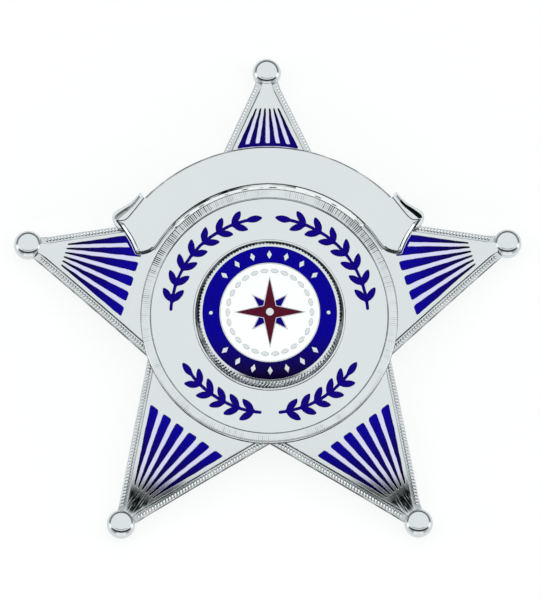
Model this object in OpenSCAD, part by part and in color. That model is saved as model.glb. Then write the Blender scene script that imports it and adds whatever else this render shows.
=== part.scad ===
/* [Star] */
// Distance from the star's centre to the centre of each ball tip
tip_r = 36.75; // [34:0.25:40]
// How far past a ball's centre the two edges of its arm would meet
edge_meet = 2.05; // [1.7:0.05:2.1]
// Radius at which neighbouring arms meet in a notch
notch_r = 18.5; // [17.4:0.1:18.6]
// Diameter of the ball tips
ball_d = 4.2; // [4:0.1:5]
// Depth of the ball centres below the raised field
ball_sink = 0.6; // [0.3:0.05:0.9]
// Radius of the dome that the raised field follows
dome_r = 125; // [110:1:160]
// Thickness of the metal under the raised field
plate_t = 1.5; // [1.2:0.1:2]
// Width of the lower border along the arms
border_w = 0.95; // [0.7:0.05:1.2]
// Depth of that border below the field
border_drop = 0.45; // [0.3:0.05:0.6]

/* [Rays] */
// Enamel rays on each arm
ray_count = 6; // [4:1:7]
// Rays that each end of the ribbon cuts short on its side arm
rays_cut = 2; // [1:1:3]
// Distance from the star's centre to the wide ends
ray_wide_at = 20.5; // [20:0.1:22]
// Distance from the star's centre to the thin ends
ray_thin_at = 31.2; // [29:0.1:32]
// Width of a ray at its wide end
ray_wide_w = 1.4; // [1:0.05:1.5]
// Width of a ray at its thin end
ray_thin_w = 0.4; // [0.3:0.02:0.42]
// Spacing of the wide ends
ray_wide_pitch = 2.3; // [1.9:0.02:2.34]
// Spacing of the thin ends
ray_thin_pitch = 0.64; // [0.6:0.01:0.66]
// Width of the enamel line that follows the ribbon's edge
line_w = 0.42; // [0.3:0.02:0.6]

/* [Enamel] */
// Depth of the enamel cells
cell_depth = 0.4; // [0.3:0.05:0.45]
// How far the enamel lies below the metal round it
enamel_drop = 0.03; // [0.01:0.01:0.08]
// Clearance between the enamel and its cell
enamel_gap = 0.02; // [0.01:0.005:0.04]

/* [Ribbon] */
// Inner radius of the blank ribbon
ribbon_in_r = 19.35; // [19.2:0.05:19.6]
// Outer radius of the blank ribbon
ribbon_out_r = 25.25; // [24.5:0.05:26]
// Angle from the top of the badge to where each end begins
ribbon_half_angle = 45; // [43:0.5:46]
// Height of the ribbon's face above the field
ribbon_rise = 1.05; // [0.8:0.05:1.3]
// How far the rolled fold lies below the ribbon's face
fold_drop = 0.25; // [0.15:0.05:0.3]
// Depth of the slit in the rolled fold
slit_depth = 0.55; // [0.3:0.05:0.6]
// Free metal between the ribbon's edge and the enamel line
ribbon_margin = 0.12; // [0.08:0.01:0.2]

/* [Panel] */
// Outer radius of the round panel
panel_r = 18.7; // [18.6:0.05:19]
// Height of the panel's face above the field
panel_rise = 0.7; // [0.6:0.05:0.9]
// Width of the ridge round the panel
ridge_w = 1.5; // [1:0.05:1.8]
// Height of that ridge above the panel
ridge_rise = 0.3; // [0.2:0.02:0.4]

/* [Leaf sprays] */
// Radius of the curved stems
stem_r = 14.3; // [14:0.05:14.5]
// Width of the stems
stem_w = 0.42; // [0.3:0.02:0.5]
// Length of a leaf
leaf_l = 2.5; // [2.2:0.05:2.6]
// Width of a leaf
leaf_w = 1; // [0.7:0.05:1.1]
// Angle between a leaf and its stem
leaf_tilt = 38; // [30:1:42]
// Leaf pairs on an upper spray
upper_pairs = 7; // [5:1:7]
// Leaf pairs on a lower spray
lower_pairs = 5; // [3:1:5]

/* [Seal] */
// Radius of the seal's foot on the panel
seal_foot_r = 11.1; // [10.9:0.05:11.4]
// Height of the seal's crown above the panel's crown
seal_rise = 2.5; // [2.2:0.05:3]
// Radius of the seal's dome
seal_dome_r = 45; // [40:1:60]
// Outer radius of the seal's top rim
seal_rim_r = 10.25; // [10.1:0.05:10.4]
// Height of the foot's edge
foot_h = 0.45; // [0.3:0.05:0.6]
// Width of the step above the foot
foot_step = 0.35; // [0.2:0.05:0.5]
// Outer radius of the enamel ring
ring_out_r = 9.75; // [9.6:0.05:9.8]
// Inner radius of the enamel ring
ring_in_r = 7.3; // [7.2:0.05:7.5]
// Thickness of the raised metal lines between enamels
wall_w = 0.14; // [0.1:0.01:0.2]
// Lozenges on each half of the enamel ring
lozenge_count = 7; // [5:2:9]
// Angle that the lozenges of one half take up
lozenge_spread = 100; // [80:5:120]
// Length of a lozenge across the ring
lozenge_l = 1.3; // [1:0.05:1.5]
// Width of a lozenge round the ring
lozenge_w = 0.75; // [0.5:0.05:0.9]
// Diameter of the two dots on the ring
dot_d = 0.55; // [0.4:0.05:0.8]
// Leaves in the metal wreath on the white field
wreath_count = 26; // [20:2:30]
// Share of its spacing that a wreath leaf fills
wreath_fill = 0.8; // [0.7:0.05:0.85]
// Width of a wreath leaf as a share of its length
wreath_slim = 0.5; // [0.35:0.05:0.6]
// Radius of the wreath
wreath_r = 6.1; // [5.9:0.05:6.2]
// Reach of the long points of the compass star
long_point = 4.9; // [4.4:0.1:5]
// Reach of the short points of the compass star
short_point = 3.3; // [2.9:0.1:3.6]
// Half width of the points where they meet
point_half = 0.85; // [0.7:0.05:0.95]

/* [Pin] */
// Length between the middles of the joint and the catch
pin_span = 30; // [26:1:32]
// Diameter of the pin's stem
stem_d = 0.95; // [0.8:0.05:1.1]
// Distance from the star's back to the stem's axis at the joint
pin_drop = 2.3; // [2:0.1:2.5]
// Height of the pin above the star's centre
pin_up = 6; // [4:0.5:8]
// Width of the joint and of the catch
block_w = 3.2; // [2.6:0.1:3.6]
// Length of the joint and of the catch along the pin
block_l = 2.6; // [2:0.1:3]

/* [Fits] */
// Clearance under each piece that is seated on the next
seat_gap = 0.03; // [0.02:0.01:0.06]

/* [Hidden] */
$fn = 96;
// Facets round the large spheres, where the file is shown as a mesh
dome_fn = 360;
// Arms are counted anticlockwise from the top one, which is number 0
arm_count = 5;
left_arm = 1;
lower_left_arm = 2;
lower_right_arm = 3;
arm_step = 360 / arm_count;
half_step = arm_step / 2;
ball_r = ball_d / 2;
apex_r = tip_r + edge_meet;
arm_half = atan2(notch_r * sin(half_step), apex_r - notch_r * cos(half_step));
field_apex_r = apex_r - border_w / sin(arm_half);
field_notch_r = notch_r - border_w / sin(arm_half + half_step);
// The origin is the middle of the badge's box, at the level of the balls' undersides
star_y = -tip_r * (1 - cos(half_step)) / 2;
dome_z = ball_r - sqrt(pow(dome_r - ball_sink, 2) - pow(tip_r, 2));
back_r = dome_r - plate_t;
panel_face_r = dome_r + panel_rise;
ribbon_face_r = dome_r + ribbon_rise;
// Tools that cut run this far past what they cut
past = 1;
panel_crown_z = dome_z + panel_face_r;
seal_crown_z = panel_crown_z + seal_rise;
seal_z = seal_crown_z - seal_dome_r;
top_z = seal_crown_z + past;
mid_ray = (ray_count - 1) / 2;
// Where the left sprays run, as angles from +X
UPPER_SPRAY = [177, 101];
LOWER_SPRAY = [265, 216];
// Leaf pairs' spacings that are left free before the end leaf
spray_tail = 0.6;
// Share of the end leaf that lies over its stem
leaf_lap = 0.25;
// Distance from the compass star's centre to the corners between its points
point_waist = point_half * sqrt(2);
// How much further a sharp point moves than its sides when an outline grows
sharp_growth = 2.5;
SIDE_RAYS = [for (k = [rays_cut:ray_count - 1]) k];
LOWER_RAYS = [for (k = [0:ray_count - 1]) k];

// Each row is a point on the end of the ribbon: degrees past its straight part,
// and the share of the ribbon's width from its inner edge
END_OUTER = [[0, 1], [5, 0.975], [9.2, 0.985], [11, 1.05], [12, 1.19]];
END_EDGE = [[12, 1.19], [13, 1.02], [14.6, 0.78], [16.4, 0.58], [19.2, 0.36]];
END_INNER = [[19.2, 0.36], [18.2, 0.2], [15.6, 0.05], [12, 0], [6, 0], [0, 0]];
FOLD_OUTER = [[0.2, 1.17], [4.2, 1.17], [7.2, 1.25], [9.8, 1.34], [11.6, 1.33], [13.2, 1.2], [14, 1.04]];
FOLD_INNER = [[13.4, 0.9], [9, 0.9], [0.8, 0.94]];
SLIT_OUTER = [[1.4, 1.12], [5, 1.12], [8, 1.2], [10.8, 1.27], [11.9, 1.25]];
SLIT_INNER = [[11.4, 1.17], [8.4, 1.11], [5, 1.06], [1.4, 1.09]];
// A point inside the ribbon's straight part, where its end takes root
END_ROOT = [-4, 0.5];
CURVE_STEPS = 4;

function dome_height(radius, r) = dome_z + sqrt(pow(radius, 2) - pow(r, 2));
function polar(r, a) = [r * cos(a), r * sin(a)];
function arm_angle(arm) = 90 + arm_step * arm;
function cubic(a, b, c, d, t) =
    b + 0.5 * t * (c - a + t * (2 * a - 5 * b + 4 * c - d + t * (3 * (b - c) + d - a)));
// A smooth curve through a list of points
function smooth(pts) = [
    for (i = [0:len(pts) - 2])
        for (s = [0:CURVE_STEPS - 1])
            cubic(
                pts[max(i - 1, 0)],
                pts[i],
                pts[i + 1],
                pts[min(i + 2, len(pts) - 1)],
                s / CURVE_STEPS
            ),
    pts[len(pts) - 1]
];
// A point on the ribbon's end, grown outwards by a distance along the ribbon
function end_point(p, grow) =
    polar(
        ribbon_in_r + p[1] * (ribbon_out_r - ribbon_in_r),
        90 + ribbon_half_angle + p[0] + grow / ribbon_out_r * 180 / PI
    );
function end_points(rows, grow) = [for (p = smooth(rows)) end_point(p, grow)];
function star_points(outer, inner) = [
    for (arm = [0:arm_count - 1])
        for (p = [[outer, 0], [inner, half_step]])
            polar(p[0], arm_angle(arm) + p[1])
];

module at_star() {
    translate([0, star_y, 0])
        children();
}

// What lies between two spheres about the dome's centre, inside an outline
module shell(low_r, high_r) {
    difference() {
        intersection() {
            linear_extrude(top_z)
                children();
            translate([0, 0, dome_z])
                sphere(high_r, $fn = dome_fn);
        }
        translate([0, 0, dome_z])
            sphere(low_r, $fn = dome_fn);
    }
}

module wedge(from, to, reach) {
    mid = (from + to) / 2;
    far = reach / cos((to - from) / 4);
    polygon([[0, 0], polar(far, from), polar(far, mid), polar(far, to)]);
}

// One ray in the frame of its arm, which points along +X
module ray_outline(k, inset) {
    wide = (k - mid_ray) * ray_wide_pitch;
    thin = (k - mid_ray) * ray_thin_pitch;
    wide_half = ray_wide_w / 2 - inset;
    thin_half = ray_thin_w / 2 - inset;
    polygon([
        [ray_wide_at + inset, wide - wide_half],
        [ray_thin_at - inset, thin - thin_half],
        [ray_thin_at - inset, thin + thin_half],
        [ray_wide_at + inset, wide + wide_half]
    ]);
}

// The whole fan between two of its rays
module fan_outline(first, last, inset) {
    wide = [(first - mid_ray) * ray_wide_pitch, (last - mid_ray) * ray_wide_pitch];
    thin = [(first - mid_ray) * ray_thin_pitch, (last - mid_ray) * ray_thin_pitch];
    wide_half = ray_wide_w / 2 - inset;
    thin_half = ray_thin_w / 2 - inset;
    polygon([
        [ray_wide_at + inset, wide[0] - wide_half],
        [ray_thin_at - inset, thin[0] - thin_half],
        [ray_thin_at - inset, thin[1] + thin_half],
        [ray_wide_at + inset, wide[1] + wide_half]
    ]);
}

// The top arm's rays run into a line along the ribbon's upper edge
module top_comb_outline(inset) {
    line_in = ribbon_out_r + ribbon_margin + inset;
    line_out = ribbon_out_r + ribbon_margin + line_w - inset;
    rotate(90) {
        difference() {
            union() {
                for (k = [0:ray_count - 1])
                    ray_outline(k, inset);
                intersection() {
                    fan_outline(0, ray_count - 1, inset);
                    circle(line_out);
                }
            }
            circle(line_in);
        }
    }
}

// The ribbon's end on the left, with a margin past its end edge
module end_outline(grow) {
    polygon(concat(
        end_points(END_OUTER, grow),
        end_points(END_EDGE, grow),
        end_points(END_INNER, grow),
        [end_point(END_ROOT, grow)]
    ));
}

// The left arm's upper rays run into a line along the ribbon's end
module side_comb_outline(inset) {
    rotate(arm_angle(left_arm)) {
        difference() {
            union() {
                for (k = [0:rays_cut - 1])
                    ray_outline(k, inset);
                intersection() {
                    fan_outline(0, rays_cut - 1, inset);
                    rotate(-arm_angle(left_arm))
                        end_outline(ribbon_margin + line_w - inset);
                }
            }
            rotate(-arm_angle(left_arm))
                end_outline(ribbon_margin + inset);
        }
    }
}

module left_side_outline(inset) {
    side_comb_outline(inset);
    rotate(arm_angle(left_arm))
        for (k = SIDE_RAYS)
            ray_outline(k, inset);
}

module ray_cells() {
    top_comb_outline(0);
    left_side_outline(0);
    mirror([1, 0, 0])
        left_side_outline(0);
    for (arm = [lower_left_arm, lower_right_arm])
        rotate(arm_angle(arm))
            for (k = LOWER_RAYS)
                ray_outline(k, 0);
}

module star_plate() {
    color("silver")
        at_star() {
            difference() {
                union() {
                    shell(back_r, dome_r - border_drop)
                        polygon(star_points(apex_r, notch_r));
                    shell(back_r, dome_r)
                        polygon(star_points(field_apex_r, field_notch_r));
                }
                shell(dome_r - cell_depth, dome_r + past)
                    ray_cells();
            }
            for (arm = [0:arm_count - 1])
                translate(concat(polar(tip_r, arm_angle(arm)), ball_r))
                    sphere(ball_r);
        }
}

module ray_enamel() {
    shell(dome_r - cell_depth + enamel_gap, dome_r - enamel_drop)
        children();
}

module rays_top_comb() {
    color("navy")
        at_star()
            ray_enamel()
                top_comb_outline(enamel_gap);
}

module rays_left_comb() {
    color("navy")
        at_star()
            ray_enamel()
                side_comb_outline(enamel_gap);
}

module rays_right_comb() {
    mirror([1, 0, 0])
        rays_left_comb();
}

module lone_ray(arm, k) {
    color("navy")
        at_star()
            ray_enamel()
                rotate(arm_angle(arm))
                    ray_outline(k, enamel_gap);
}

module band_outline() {
    intersection() {
        difference() {
            circle(ribbon_out_r);
            circle(ribbon_in_r);
        }
        wedge(90 - ribbon_half_angle, 90 + ribbon_half_angle, ribbon_out_r + past);
    }
}

module fold_outline() {
    polygon(concat(end_points(FOLD_OUTER, 0), end_points(FOLD_INNER, 0)));
}

module slit_outline() {
    polygon(concat(end_points(SLIT_OUTER, 0), end_points(SLIT_INNER, 0)));
}

// The left end of the ribbon, with the fold that is rolled back behind it
module ribbon_end() {
    shell(dome_r + seat_gap, ribbon_face_r)
        end_outline(0);
    difference() {
        shell(dome_r + seat_gap, ribbon_face_r - fold_drop)
            fold_outline();
        shell(ribbon_face_r - fold_drop - slit_depth, ribbon_face_r)
            slit_outline();
    }
}

module ribbon_banner() {
    color("gainsboro")
        at_star() {
            shell(dome_r + seat_gap, ribbon_face_r)
                band_outline();
            ribbon_end();
            mirror([1, 0, 0])
                ribbon_end();
        }
}

// A leaf with two arcs for its edges, from the origin along +X
module leaf(length, width, inset) {
    l = length - 2 * inset;
    w = width - 2 * inset;
    arc_r = (l * l + w * w) / (4 * w);
    translate([length / 2, 0])
        intersection() {
            translate([0, arc_r - w / 2])
                circle(arc_r);
            translate([0, w / 2 - arc_r])
                circle(arc_r);
        }
}

// A stem with leaf pairs that grows anticlockwise from one angle to another
module spray_outline(from, to, pairs, inset) {
    step = (to - from) / (pairs + spray_tail);
    side = sign(to - from);
    end_inset = inset / stem_r * 180 / PI;
    intersection() {
        difference() {
            circle(stem_r + stem_w / 2 - inset);
            circle(stem_r - stem_w / 2 + inset);
        }
        wedge(min(from, to) + end_inset, max(from, to) - end_inset, stem_r + past);
    }
    for (i = [0:pairs - 1])
        for (tilt = [-leaf_tilt, leaf_tilt])
            rotate(from + step * (i + 1 / 2))
                translate([stem_r, 0])
                    rotate(side * 90 + tilt)
                        leaf(leaf_l, leaf_w, inset);
    rotate(to)
        translate([stem_r, 0])
            rotate(side * 90)
                translate([-leaf_l * leaf_lap, 0])
                    leaf(leaf_l, leaf_w, inset);
}

module left_spray_outline(half, inset) {
    span = half == "upper" ? UPPER_SPRAY : LOWER_SPRAY;
    spray_outline(span[0], span[1], half == "upper" ? upper_pairs : lower_pairs, inset);
}

module centre_panel() {
    ridge_mid = panel_r - ridge_w / 2;
    ridge_arc_r = (pow(ridge_w / 2, 2) + pow(ridge_rise, 2)) / (2 * ridge_rise);
    lean = asin(ridge_mid / panel_face_r);
    ridge_at = panel_face_r + ridge_rise - ridge_arc_r;
    color("gainsboro")
        at_star()
            difference() {
                translate([0, 0, dome_z])
                    rotate_extrude()
                        intersection() {
                            difference() {
                                union() {
                                    circle(panel_face_r, $fn = dome_fn);
                                    translate([ridge_at * sin(lean), ridge_at * cos(lean)])
                                        circle(ridge_arc_r);
                                }
                                circle(dome_r + seat_gap, $fn = dome_fn);
                            }
                            square([panel_r, panel_face_r + past]);
                        }
                shell(panel_face_r - cell_depth, panel_face_r + past) {
                    for (half = ["upper", "lower"]) {
                        left_spray_outline(half, 0);
                        mirror([1, 0, 0])
                            left_spray_outline(half, 0);
                    }
                }
            }
}

module leaf_spray(half) {
    color("navy")
        at_star()
            shell(panel_face_r - cell_depth + enamel_gap, panel_face_r - enamel_drop)
                left_spray_outline(half, enamel_gap);
}

// What lies between two spheres about the seal's own centre, inside an outline
module seal_shell(low_r, high_r) {
    difference() {
        intersection() {
            translate([0, 0, panel_crown_z - past])
                linear_extrude(seal_rise + 2 * past)
                    children();
            translate([0, 0, seal_z])
                sphere(high_r, $fn = dome_fn);
        }
        translate([0, 0, seal_z])
            sphere(low_r, $fn = dome_fn);
    }
}

module lozenge(inset) {
    polygon([
        [lozenge_l / 2 + inset, 0],
        [0, lozenge_w / 2 + inset],
        [-lozenge_l / 2 - inset, 0],
        [0, -lozenge_w / 2 - inset]
    ]);
}

// The metal figures that stand in the ring: lozenges above and below, a dot at each side
module ring_figures(grow) {
    ring_mid = (ring_out_r + ring_in_r) / 2;
    lozenge_step = lozenge_spread / (lozenge_count - 1);
    for (middle = [90, 270])
        for (i = [0:lozenge_count - 1])
            rotate(middle + (i - (lozenge_count - 1) / 2) * lozenge_step)
                translate([ring_mid, 0])
                    lozenge(grow);
    for (side = [-1, 1])
        translate([side * ring_mid, 0])
            circle(dot_d / 2 + grow);
}

module ring_cell(inset) {
    difference() {
        circle(ring_out_r - inset);
        circle(ring_in_r + inset);
        ring_figures(inset);
    }
}

module wreath_figures(grow) {
    wreath_step = 360 / wreath_count;
    leaf_length = 2 * PI * wreath_r / wreath_count * wreath_fill;
    for (i = [0:wreath_count - 1])
        rotate(90 + wreath_step * (i + 1 / 2))
            translate([wreath_r, -leaf_length / 2])
                rotate(90)
                    leaf(leaf_length, leaf_length * wreath_slim, -grow);
}

// A four-pointed star whose points lie at a given angle
module four_points(reach, waist, turn) {
    polygon([
        for (i = [0:3])
            for (p = [[reach, 0], [waist, 45]])
                polar(p[0], turn + 90 * i + p[1])
    ]);
}

module compass_outline(grow) {
    four_points(long_point + sharp_growth * grow, point_waist + grow, 0);
    four_points(short_point + sharp_growth * grow, point_waist + grow, 45);
}

module long_cells(inset) {
    difference() {
        four_points(long_point - sharp_growth * inset, point_waist - inset, 0);
        circle(point_half / 2 + wall_w + inset);
    }
}

module short_cells(inset) {
    difference() {
        four_points(short_point - sharp_growth * inset, point_waist - inset, 45);
        four_points(long_point + sharp_growth * (wall_w + inset), point_waist + wall_w + inset, 0);
    }
}

module field_cell(inset) {
    difference() {
        circle(ring_in_r - wall_w - inset);
        wreath_figures(inset);
        compass_outline(wall_w + inset);
    }
}

module seal_body() {
    foot_z = dome_height(panel_face_r, seal_foot_r);
    rim_z = seal_z + sqrt(pow(seal_dome_r, 2) - pow(seal_rim_r, 2));
    step_r = seal_foot_r - foot_step;
    slope = (rim_z - foot_z - foot_h) / (seal_rim_r - step_r);
    color("silver")
        at_star()
            difference() {
                rotate_extrude()
                    intersection() {
                        polygon([
                            [0, foot_z - past],
                            [seal_foot_r, foot_z - past],
                            [seal_foot_r, foot_z + foot_h],
                            [step_r, foot_z + foot_h],
                            [seal_rim_r - past, rim_z - slope * past],
                            [0, rim_z - slope * past]
                        ]);
                        translate([0, seal_z])
                            circle(seal_dome_r, $fn = dome_fn);
                    }
                translate([0, 0, dome_z])
                    sphere(panel_face_r + seat_gap, $fn = dome_fn);
                seal_shell(seal_dome_r - cell_depth, seal_dome_r + past) {
                    ring_cell(0);
                    field_cell(0);
                    long_cells(0);
                    short_cells(0);
                }
            }
}

module seal_enamel() {
    at_star()
        seal_shell(seal_dome_r - cell_depth + enamel_gap, seal_dome_r - enamel_drop)
            children();
}

module seal_ring_enamel() {
    color("navy")
        seal_enamel()
            ring_cell(enamel_gap);
}

module seal_field_enamel() {
    color("white")
        seal_enamel()
            field_cell(enamel_gap);
}

module seal_long_points() {
    color("maroon")
        seal_enamel()
            long_cells(enamel_gap);
}

module seal_short_points() {
    color("navy")
        seal_enamel()
            short_cells(enamel_gap);
}

// One plain piece behind the badge: a joint block, a straight stem and a catch
module pin_back() {
    seat_r = back_r - seat_gap;
    far = sqrt(pow(pin_span / 2, 2) + pow(pin_up, 2));
    stem_z = dome_height(back_r, far) - pin_drop;
    color("darkgray")
        at_star() {
            intersection() {
                for (side = [-1, 1])
                    translate([side * pin_span / 2 - block_l / 2, pin_up - block_w / 2, stem_z - stem_d])
                        cube([block_l, block_w, pin_drop + stem_d + past]);
                translate([0, 0, dome_z])
                    sphere(seat_r, $fn = dome_fn);
            }
            translate([-pin_span / 2, pin_up, stem_z])
                rotate([0, 90, 0])
                    cylinder(h = pin_span, d = stem_d);
        }
}

star_plate();
ribbon_banner();
centre_panel();
seal_body();
seal_ring_enamel();
seal_field_enamel();
seal_long_points();
seal_short_points();
rays_top_comb();
rays_left_comb();
rays_right_comb();
pin_back();
for (half = ["upper", "lower"]) {
    leaf_spray(half);
    mirror([1, 0, 0]) leaf_spray(half);
}
for (k = SIDE_RAYS) {
    lone_ray(left_arm, k);
    mirror([1, 0, 0]) lone_ray(left_arm, k);
}
for (k = LOWER_RAYS) {
    lone_ray(lower_left_arm, k);
    lone_ray(lower_right_arm, k);
}
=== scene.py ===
import math

import bmesh
import bpy
from mathutils import Matrix, Vector, noise


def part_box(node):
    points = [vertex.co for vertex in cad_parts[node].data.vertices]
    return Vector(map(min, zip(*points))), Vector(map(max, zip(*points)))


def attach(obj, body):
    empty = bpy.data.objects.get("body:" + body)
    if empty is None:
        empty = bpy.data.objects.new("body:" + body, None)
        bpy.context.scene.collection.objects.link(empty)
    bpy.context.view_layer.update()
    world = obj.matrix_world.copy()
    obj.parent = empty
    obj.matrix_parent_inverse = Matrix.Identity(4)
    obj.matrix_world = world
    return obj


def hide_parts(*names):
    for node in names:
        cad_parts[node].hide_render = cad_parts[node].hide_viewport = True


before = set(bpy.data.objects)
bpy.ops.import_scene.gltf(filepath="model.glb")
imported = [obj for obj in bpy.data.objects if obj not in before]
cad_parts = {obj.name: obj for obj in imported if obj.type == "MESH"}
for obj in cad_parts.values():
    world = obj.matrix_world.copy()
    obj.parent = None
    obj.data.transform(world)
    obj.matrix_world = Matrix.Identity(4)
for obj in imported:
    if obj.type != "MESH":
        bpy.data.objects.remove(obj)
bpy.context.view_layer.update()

# The camera. The badge lies face up and is seen from almost straight above, through a long lens,
# a little from below its lower arms and from its left.
MM = 0.001
CAMERA_ELEVATION = math.radians(81)
CAMERA_TO_THE_LEFT = math.radians(1.4)
CAMERA_ROLL = math.radians(0.4)
CAMERA_DISTANCE = 1.4
PIXELS_PER_MM = 6.85
FRAME_HEIGHT = 600
AIM = Vector((0.31, 0.02, 0.0)) * MM

camera_data = bpy.data.cameras.new("long_lens")
camera_data.angle = 2 * math.atan(FRAME_HEIGHT / PIXELS_PER_MM * MM / 2 / CAMERA_DISTANCE)
camera_data.clip_start = 0.05
camera = bpy.data.objects.new("long_lens", camera_data)
towards = Vector((
    -math.sin(CAMERA_TO_THE_LEFT),
    -math.cos(CAMERA_ELEVATION),
    math.sin(CAMERA_ELEVATION),
)).normalized()
right = Vector((math.cos(CAMERA_TO_THE_LEFT), 0, math.sin(CAMERA_TO_THE_LEFT)))
right = Matrix.Rotation(-CAMERA_ROLL, 3, towards) @ (right - towards * right.dot(towards)).normalized()
camera.location = AIM + towards * CAMERA_DISTANCE
camera.rotation_euler = Matrix((right, towards.cross(right), towards)).transposed().to_euler()
bpy.context.scene.collection.objects.link(camera)
bpy.context.scene.camera = camera
bpy.context.scene.view_settings.view_transform = "Standard"

# The floor is a light table: a sheet of opal acrylic, lit evenly from below. It is white right to
# its edges, with a matt grain that is hardly seen.
FLOOR_SIZE = 3.0
ACRYLIC_GRAIN_MM = 1.111  # The real grain is too fine to show, so it is drawn coarser.


def linear(colour):
    """An sRGB hex colour as linear RGBA."""
    parts = [int(colour[i:i + 2], 16) / 255 for i in (1, 3, 5)]
    return [c / 12.92 if c <= 0.04045 else ((c + 0.055) / 1.055) ** 2.4 for c in parts] + [1.0]


def add(tree, kind, settings=None, links=None):
    """Adds a node. settings names its attributes and inputs, and links the inputs that are fed.

    A feed is a socket, or a node whose first output is meant.
    """
    node = tree.nodes.new("ShaderNode" + kind)
    for name, value in (settings or {}).items():
        if isinstance(name, str) and hasattr(node, name):
            setattr(node, name, value)
        else:
            node.inputs[name].default_value = value
    for name, feed in (links or {}).items():
        socket = feed.outputs[0] if isinstance(feed, bpy.types.Node) else feed
        tree.links.new(socket, node.inputs[name])
    return node


def new_material(name):
    """An empty material, with its node tree and its Principled shader."""
    material = bpy.data.materials.new(name)
    material.use_nodes = True
    tree = material.node_tree
    return material, tree, tree.nodes["Principled BSDF"]


opal, tree, shader = new_material("opal_acrylic")
place = add(tree, "TexCoord").outputs["Object"]
grain = add(tree, "TexNoise", {"Scale": 1 / (ACRYLIC_GRAIN_MM * MM), "Detail": 3}, {"Vector": place})
bump = add(tree, "Bump", {"Strength": 0.05, "Distance": 0.1 * MM}, {"Height": grain})
tree.links.new(bump.outputs["Normal"], shader.inputs["Normal"])
shader.inputs["Base Color"].default_value = linear("#9a9b9b")
shader.inputs["Roughness"].default_value = 0.9
shader.inputs["Emission Color"].default_value = (1, 1, 1, 1)
shader.inputs["Emission Strength"].default_value = 0.74
bm = bmesh.new()
bmesh.ops.create_grid(bm, x_segments=1, y_segments=1, size=FLOOR_SIZE / 2)
floor_mesh = bpy.data.meshes.new("light_table")
bm.to_mesh(floor_mesh)
bm.free()
floor_mesh.materials.append(opal)
floor = bpy.data.objects.new("light_table", floor_mesh)
bpy.context.scene.collection.objects.link(floor)

# The studio: a pale tent overhead, with bright panels low at both sides. It is dark where the stand
# and the rail of the camera are, and where the room shows round the tent's foot. The metal mirrors
# these as thin dark arcs.
TENT_LIGHT = 1.12
SIDE_LIGHT = 0.5
STAND_DARK = 0.98
RAIL_DARK = 0.93
ROOM_DARK = 0.95
CORNER_SHARE = 0.75
FAR_WALL_SHARE = 0.8
world = bpy.data.worlds.new("studio_tent")
bpy.context.scene.world = world
world.use_nodes = True
tree = world.node_tree
direction = add(tree, "TexCoord").outputs["Generated"]
east, north, up = add(tree, "SeparateXYZ", links={"Vector": direction}).outputs


def mask(tree, *steps):
    """The product of smooth steps, each 0 where its value is at start, and 1 where it is at end."""
    product = None
    for value, start, end in steps:
        limits = {"interpolation_type": "SMOOTHSTEP", "From Min": start, "From Max": end}
        step = add(tree, "MapRange", limits, {"Value": value})
        product = add(tree, "Math", {"operation": "MULTIPLY"}, {0: product, 1: step}) if product else step
    return product


# Directions in degrees: to the north and to either side, both from straight up, and from the top.
angles = (
    add(tree, "Math", {"operation": "ARCTAN2"}, {0: north, 1: up}),
    add(tree, "Math", {"operation": "ARCTAN2"}, {0: east, 1: up}),
    add(tree, "Math", {"operation": "ARCCOSINE"}, {0: up}),
)
northward, eastward, from_top = [add(tree, "Math", {"operation": "DEGREES"}, {0: a}) for a in angles]
aside = add(tree, "Math", {"operation": "ABSOLUTE"}, {0: eastward})
bearing = add(tree, "Math", {"operation": "ARCTAN2"}, {0: north, 1: east})
north_share = add(tree, "Math", {"operation": "SINE"}, {0: bearing})
east_share = add(tree, "Math", {"operation": "COSINE"}, {0: bearing})
east_share = add(tree, "Math", {"operation": "ABSOLUTE"}, {0: east_share})

stand = mask(tree, (northward, -14.0, -14.9), (northward, -18.8, -17.0), (aside, 28, 24))
rail = mask(tree, (northward, -25, -28), (northward, -50, -47), (aside, 66, 56))

# The room shows under the tent's edge on the north side and at the corners, with its far wall lower
# down, a little paler.
corners = mask(tree, (east_share, 0.35, 0.55), (east_share, 0.97, 0.88))
corners = add(tree, "Math", {"operation": "MULTIPLY", 1: CORNER_SHARE}, {0: corners})
north_side = mask(tree, (north_share, -0.1, 0.2))
room_round = add(tree, "Math", {"operation": "MAXIMUM"}, {0: north_side, 1: corners})
tent_gap = mask(tree, (from_top, 53, 56), (from_top, 69, 64))
far_wall = mask(tree, (from_top, 60, 63), (from_top, 90, 87))
far_wall = add(tree, "Math", {"operation": "MULTIPLY", 1: FAR_WALL_SHARE}, {0: far_wall})
room_up = add(tree, "Math", {"operation": "MAXIMUM"}, {0: tent_gap, 1: far_wall})
room = add(tree, "Math", {"operation": "MULTIPLY"}, {0: room_round, 1: room_up})

side_panels = mask(tree, (aside, 50, 58), (from_top, 86, 80))
light = add(tree, "Math", {"operation": "MULTIPLY_ADD", 1: SIDE_LIGHT, 2: TENT_LIGHT}, {0: side_panels})
for shape, dark in ((stand, STAND_DARK), (rail, RAIL_DARK), (room, ROOM_DARK)):
    left = add(tree, "Math", {"operation": "MULTIPLY_ADD", 1: -dark, 2: 1.0}, {0: shape})
    light = add(tree, "Math", {"operation": "MULTIPLY"}, {0: light, 1: left})
tree.links.new(light.outputs[0], tree.nodes["Background"].inputs["Strength"])
tree.nodes["Background"].inputs["Color"].default_value = linear("#fbffff")

# The badge's metal is brass plated with bright nickel, polished on a wheel after striking. It
# mirrors the studio almost sharply, under hair-fine lines and a faint haze from handling. The walls
# of the relief are painted dark, in patches: painted shade.
POLISH_LINES_MM = 0.12  # Real ones are near 0.01 mm, too fine to show, so they are drawn coarser.
HAZE_MM = 9.0
PAINTED_SHADE_COLOUR = "#161c1d"
PAINTED_SHADE_PATCH_MM = 2.4
PAINTED_SHADE_ROUGHNESS = 0.4


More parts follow.
